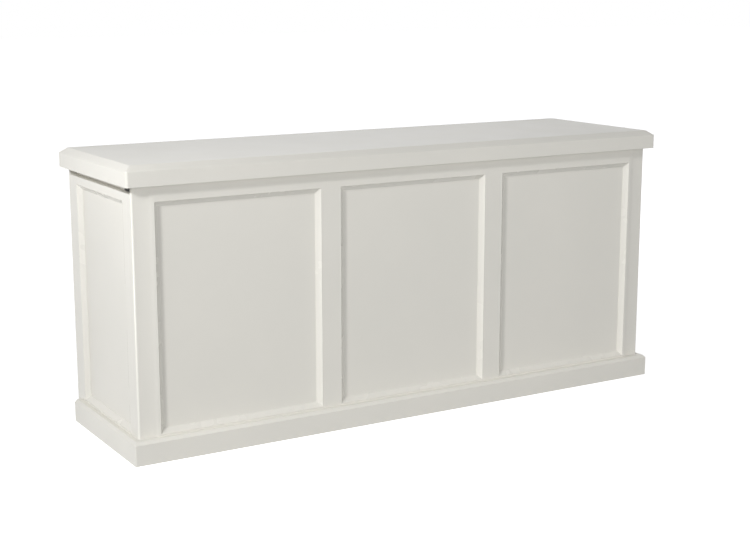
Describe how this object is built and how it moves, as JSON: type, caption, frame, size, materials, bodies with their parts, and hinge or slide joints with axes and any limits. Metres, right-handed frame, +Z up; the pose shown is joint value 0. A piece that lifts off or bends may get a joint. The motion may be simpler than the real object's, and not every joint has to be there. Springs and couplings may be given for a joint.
{
  "type": "bar counter with shelves",
  "caption": "Free-standing straight bar counter with a framed and panelled front and sides, a thick chamfered worktop, a plinth, and open bays with loose shelves on pins behind.",
  "frame": {"origin": "on the floor under the middle of the worktop", "axes": "+Z up, +X along the counter to the right of someone facing the panelled front, +Y from the panelled front to the open back"},
  "size_m": [2.44, 0.72, 1.1],
  "materials": {
    "painted_board": "satin off-white paint on MDF and softwood",
    "zinc_steel": "bright zinc plate",
    "nickel_steel": "satin nickel plate",
    "beech": "bare beech"
  },
  "bodies": {
    "carcass": {"top_board": "painted_board", "top_edge_front": "painted_board", "top_edge_back": "painted_board", "top_edge_left": "painted_board", "top_edge_right": "painted_board", "front_stile_left": "painted_board", "front_stile_right": "painted_board", "front_muntin_left": "painted_board", "front_muntin_right": "painted_board", "front_rail_top": "painted_board", "front_rail_bottom": "painted_board", "front_panel_left": "painted_board", "front_panel_middle": "painted_board", "front_panel_right": "painted_board", "front_moulding_left": "painted_board", "front_moulding_middle": "painted_board", "front_moulding_right": "painted_board", "left_stile_front": "painted_board", "left_stile_back": "painted_board", "left_rail_top": "painted_board", "left_rail_bottom": "painted_board", "left_panel": "painted_board", "left_moulding": "painted_board", "right_stile_front": "painted_board", "right_stile_back": "painted_board", "right_rail_top": "painted_board", "right_rail_bottom": "painted_board", "right_panel": "painted_board", "right_moulding": "painted_board", "plinth_front": "painted_board", "plinth_left": "painted_board", "plinth_right": "painted_board", "gable_left": "painted_board", "gable_right": "painted_board", "divider_left": "painted_board", "divider_right": "painted_board", "deck": "painted_board", "back_rail": "painted_board", "base_rail_front": "painted_board", "base_rail_back": "painted_board", "base_cross_left": "painted_board", "base_cross_right": "painted_board", "top_batten_1": "painted_board", "top_batten_2": "painted_board", "top_batten_3": "painted_board", "top_batten_4": "painted_board", "top_batten_5": "painted_board", "top_brackets": "zinc_steel", "bracket_screws": "zinc_steel", "deck_screws": "zinc_steel", "shelf_pins": "nickel_steel", "frame_dowels": "beech"},
    "shelf_left_lower": {"shelf_left_lower": "painted_board"},
    "shelf_middle_lower": {"shelf_middle_lower": "painted_board"},
    "shelf_right_lower": {"shelf_right_lower": "painted_board"},
    "shelf_left_upper": {"shelf_left_upper": "painted_board"},
    "shelf_middle_upper": {"shelf_middle_upper": "painted_board"},
    "shelf_right_upper": {"shelf_right_upper": "painted_board"}
  },
  "joints": [
    {"name": "shelf_left_lower_slide", "type": "slide", "parent": "carcass", "child": "shelf_left_lower", "axis": [0, 1, 0], "range_m": [0, 0.67]},
    {"name": "shelf_middle_lower_slide", "type": "slide", "parent": "carcass", "child": "shelf_middle_lower", "axis": [0, 1, 0], "range_m": [0, 0.67]},
    {"name": "shelf_right_lower_slide", "type": "slide", "parent": "carcass", "child": "shelf_right_lower", "axis": [0, 1, 0], "range_m": [0, 0.67]},
    {"name": "shelf_left_upper_slide", "type": "slide", "parent": "carcass", "child": "shelf_left_upper", "axis": [0, 1, 0], "range_m": [0, 0.67]},
    {"name": "shelf_middle_upper_slide", "type": "slide", "parent": "carcass", "child": "shelf_middle_upper", "axis": [0, 1, 0], "range_m": [0, 0.67]},
    {"name": "shelf_right_upper_slide", "type": "slide", "parent": "carcass", "child": "shelf_right_upper", "axis": [0, 1, 0], "range_m": [0, 0.67]}
  ]
}
